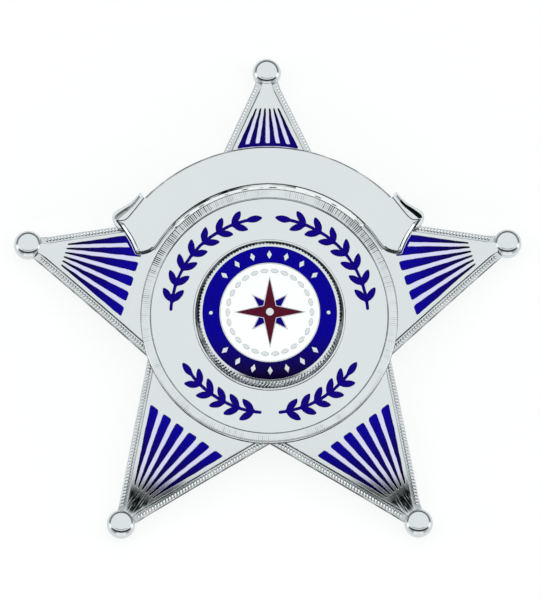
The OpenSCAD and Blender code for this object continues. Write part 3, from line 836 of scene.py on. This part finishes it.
# The line's section, over its top, under it and back: how far out it is, and how high over the star.
solder_section = [
    (-0.02, 0.6), (0.16, 0.57), (0.3, 0.56), (0.46, 0.58), (0.7, 0.66), (0.7, 0.1), (-0.02, 0.1),
]
solder_profile = []
for out, rise in solder_section + solder_section[:1]:
    solder_profile.append((PANEL_R + out, dome_height(PANEL_R + out, DOME_R) + rise, 0.0))
solder = spun(solder_profile, 36, 20, solder_wave, solder_shade)
far = [f for f in solder.faces if round_from_top(f.calc_center_median()) > SOLDER_HALF]
bmesh.ops.delete(solder, geom=far, context="FACES")
bmesh.ops.holes_fill(solder, edges=[e for e in solder.edges if e.is_boundary], sides=0)
finish_piece("solder_line", solder, solder_silver, [])

# The seal: a thick domed disc of plated brass, set on the panel, with a stepped foot and a milled
# wall. Thin struck lines of metal part its enamels. Its wall is painted darkest at the top: painted shade.
SEAL_FOOT_R = 11.1
SEAL_RISE = 2.5
SEAL_DOME_R = 45.0
SEAL_RIM_R = 10.25
SEAL_LINE_RIM = 0.03
FOOT_H = 0.45
FOOT_STEP = 0.35
SHOULDER_STEPS = 12
MILLS = 132
MILL_HEIGHT = 0.07
MILL_SLANT = 7
seal_nickel = badge_metal("seal_bright_nickel", "#d6dadc", 0.07, 0.2)
seal_z = DOME_Z + panel_face_r + SEAL_RISE - SEAL_DOME_R


def seal_draft(co):
    """Only the outer edge of the seal's face is drawn in, to where its rounded shoulder starts."""
    return 0.15 if co.length > SEAL_RIM_R - 0.3 else 0


seal = crown_of("seal_body", SEAL_DOME_R, seal_z)
seal = crowned(seal, SEAL_DOME_R, SEAL_LINE_RIM, CELL_DEPTH, seal_z, draft=seal_draft)
foot_z = dome_height(SEAL_FOOT_R, panel_face_r)
shoulder_r = SEAL_RIM_R - 0.14
shoulder_z = seal_z + math.sqrt(SEAL_DOME_R ** 2 - shoulder_r ** 2) - 0.02
step_r = SEAL_FOOT_R - FOOT_STEP
step_z = foot_z + FOOT_H

# The wall's section: a convex shoulder, the step of the foot, the underside and back. Its points
# give radius, height and painted shade, which is full at the step and the foot.
seal_profile = [(shoulder_r - 0.08, shoulder_z + 0.01, 0.0), (shoulder_r, shoulder_z, 0.0)]
for k in range(1, SHOULDER_STEPS + 1):
    slope = math.pi / 2 * (k / SHOULDER_STEPS) ** 1.3
    out = (step_r - shoulder_r - 0.06) * math.sin(slope)
    down = (shoulder_z + 0.06 - step_z) * (1 - math.cos(slope))
    seal_profile.append((shoulder_r + out, shoulder_z - down, 1.0 if k == SHOULDER_STEPS else 0.0))
seal_profile += [
    (step_r, step_z - 0.05, 1.0), (step_r + 0.04, step_z, 0.0), (SEAL_FOOT_R - 0.12, step_z + 0.02, 0.0),
    (SEAL_FOOT_R - 0.06, step_z - 0.04, 0.0), (SEAL_FOOT_R - 0.04, step_z - 0.1, 1.0),
    (SEAL_FOOT_R, foot_z, 1.0), (shoulder_r - 0.08, foot_z, 1.0), seal_profile[0],
]


def down_wall(co):
    """How far down the wall a point is: 0 at the shoulder, 1 at the step."""
    return (shoulder_z - co.z) / (shoulder_z - step_z)


def mill(co, turn):
    """The step that a point of the wall takes inwards or outwards."""
    share = down_wall(co)
    if not 0.0 < share < 0.95:
        return Vector()
    depth = MILL_HEIGHT * (1 - share) * (math.sin(MILLS * turn + MILL_SLANT * share) + noise.noise(co * 3))
    return Vector((math.cos(turn), math.sin(turn), 0.6)) * depth


def mill_shade(co, turn, shade):
    """Painted shade lies all over the upper half of the wall, and in its furrows elsewhere."""
    share = down_wall(co)
    if shade or not 0.005 < share < 0.97:
        return shade
    upper_half = min(max(1.0 + 1.6 * math.sin(turn - 0.05), 0), 1)
    in_furrow = math.sin(MILLS * turn + MILL_SLANT * share) + noise.noise(co * 3) < -0.2
    furrow = 1 - 0.7 * upper_half if in_furrow else 0
    return max(upper_half * 1.6 if share > 0.01 else 0, furrow)


join(seal, spun(seal_profile, 12, MILLS * 4 // 12, mill, mill_shade))
finish_piece("seal", seal, seal_nickel, ["seal_body"], seal_z)

# The enamels: glass melted into the cells over the bright metal, then stoned and polished. The blues
# and the red are transparent, so they are deep and let the metal's light back through. The white is
# opaque. All are glossy and very slightly uneven.
ENAMEL_DROP = 0.03
ENAMEL_RIM = 0.03
ENAMEL_WALL = 0.3
SPECKS_MM = 1.6
NEVER = (1000, 1001)


def enamel(name, colour, deep_colour, metal_share, coat, fade=None, downward_fade=None):
    """The colour deepens with the distance from the star's axis, or down the badge where a downward fade is
    given.

    Both are given as the places, in mm, at which it starts to deepen and is deepest.
    """
    material, tree, shader = new_material(name)
    place = add(tree, "TexCoord").outputs["Object"]
    mottled = {"Scale": 1 / (SPECKS_MM * MM), "Detail": 5, "Roughness": 0.7}
    specks = add(tree, "TexNoise", mottled, {"Vector": place})
    centred = add(tree, "Mapping", {"Location": -STAR_AT * MM, "Scale": (1, 1, 0)}, {"Vector": place})
    reach = add(tree, "VectorMath", {"operation": "LENGTH"}, {0: centred})
    down = add(tree, "SeparateXYZ", links={"Vector": centred})
    low, high = fade or downward_fade or NEVER
    along = down.outputs["Y"] if downward_fade else reach.outputs["Value"]
    depth = add(tree, "MapRange", {"From Min": low * MM, "From Max": high * MM}, {"Value": along})
    cloud = add(tree, "MapRange", {"From Min": 0.3, "From Max": 0.8, "To Max": 0.16}, {"Value": specks})
    share = add(tree, "Math", {"operation": "ADD", "use_clamp": True}, {0: depth, 1: cloud})
    colours = {"data_type": "RGBA", 6: linear(colour), 7: linear(deep_colour)}
    mix = add(tree, "Mix", colours, {0: share})
    bump = add(tree, "Bump", {"Strength": 0.12, "Distance": 0.01 * MM}, {"Height": specks})
    tree.links.new(mix.outputs[2], shader.inputs["Base Color"])
    tree.links.new(bump.outputs["Normal"], shader.inputs["Normal"])
    shader.inputs["Metallic"].default_value = metal_share
    shader.inputs["Roughness"].default_value = 0.22
    shader.inputs["Coat Weight"].default_value = coat
    shader.inputs["Coat Roughness"].default_value = 0.04
    return material


# The rays are painted nearly black towards their thin ends: painted shade. The seal's ring is
# darker towards its lowest part. The white is given a faint glow, painted light, so it is never
# quite in shade.
ray_blue = enamel("ray_blue_enamel", "#090092", "#080018", 1.0, 0.06, fade=(21.5, 31))
plain_blue = enamel("spray_blue_enamel", "#0e0078", "#08004c", 1.0, 0.06)
ring_blue = enamel("ring_blue_enamel", "#05008c", "#110530", 1.0, 0.05, downward_fade=(-3, -9.8))
dark_red = enamel("dark_red_enamel", "#521024", "#3a0814", 1.0, 0.06)
white_glass = enamel("white_enamel", "#ffffff", "#f9fbfa", 0.0, 1.0)
# Painted light: the white enamel glows faintly.
white_shader = white_glass.node_tree.nodes["Principled BSDF"]
white_shader.inputs["Emission Color"].default_value = (1, 1, 1, 1)
white_shader.inputs["Emission Strength"].default_value = 0.2


def enamel_piece(node, radius, material, centre_z=DOME_Z):
    """One fill of enamel, a hair below the metal round it. Only the star's and panel's are hand cut."""
    crown_r = radius - ENAMEL_DROP
    fill = crown_of(node, crown_r, centre_z, hand_cut="all" if centre_z == DOME_Z else None)
    fill = crowned(fill, crown_r, ENAMEL_RIM, ENAMEL_WALL, centre_z)
    finish_piece(node + "_glass", fill, material, [node], centre_z)


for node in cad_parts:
    if node.startswith("ray"):
        enamel_piece(node, DOME_R, ray_blue)
    elif node.startswith("leaf_spray"):
        enamel_piece(node, panel_face_r, plain_blue)
enamel_piece("seal_ring_enamel", SEAL_DOME_R, ring_blue, seal_z)
enamel_piece("seal_field_enamel", SEAL_DOME_R, white_glass, seal_z)
enamel_piece("seal_long_points", SEAL_DOME_R, dark_red, seal_z)
enamel_piece("seal_short_points", SEAL_DOME_R, plain_blue, seal_z)

# The pin: a joint block and a catch block of brushed steel, soldered to the back, with the stem
# between them. The brushing makes it greyer and duller than the plate.
PIN_SPAN = 30.0
STEM_D = 0.95
PIN_DROP = 2.3
PIN_UP = 6.0
BLOCK = (2.6, 3.2)
BLOCK_BEVEL = 0.25
pin_metal = badge_metal("pin_brushed_steel", "#c4c7c9", 0.22, 0.6)
seat_r = DOME_R - PLATE_T - SEAT_GAP
stem_z = dome_height(math.hypot(PIN_SPAN / 2, PIN_UP), DOME_R - PLATE_T) - PIN_DROP
block_low = stem_z - STEM_D
block_high = stem_z + PIN_DROP + 1
pin = bmesh.new()
for side in (-1, 1):
    block = bmesh.ops.create_cube(pin, size=1.0)
    bmesh.ops.scale(pin, vec=(*BLOCK, block_high - block_low), verts=block["verts"])
    at = (side * PIN_SPAN / 2, PIN_UP, (block_high + block_low) / 2)
    bmesh.ops.translate(pin, vec=at, verts=block["verts"])
for v in pin.verts:
    if v.co.z > stem_z + PIN_DROP / 2:
        v.co.z = dome_height(v.co.to_2d().length, seat_r)
bmesh.ops.bevel(
    pin, geom=list(pin.edges), offset=BLOCK_BEVEL, segments=3, profile=0.5, affect="EDGES", material=-1,
)
along = Matrix.Translation((0, PIN_UP, stem_z)) @ Matrix.Rotation(math.pi / 2, 4, "Y")
bmesh.ops.create_cone(
    pin, cap_ends=True, segments=24, radius1=STEM_D / 2, radius2=STEM_D / 2, depth=PIN_SPAN, matrix=along,
)
finish_piece("pin", pin, pin_metal, ["pin_back"])
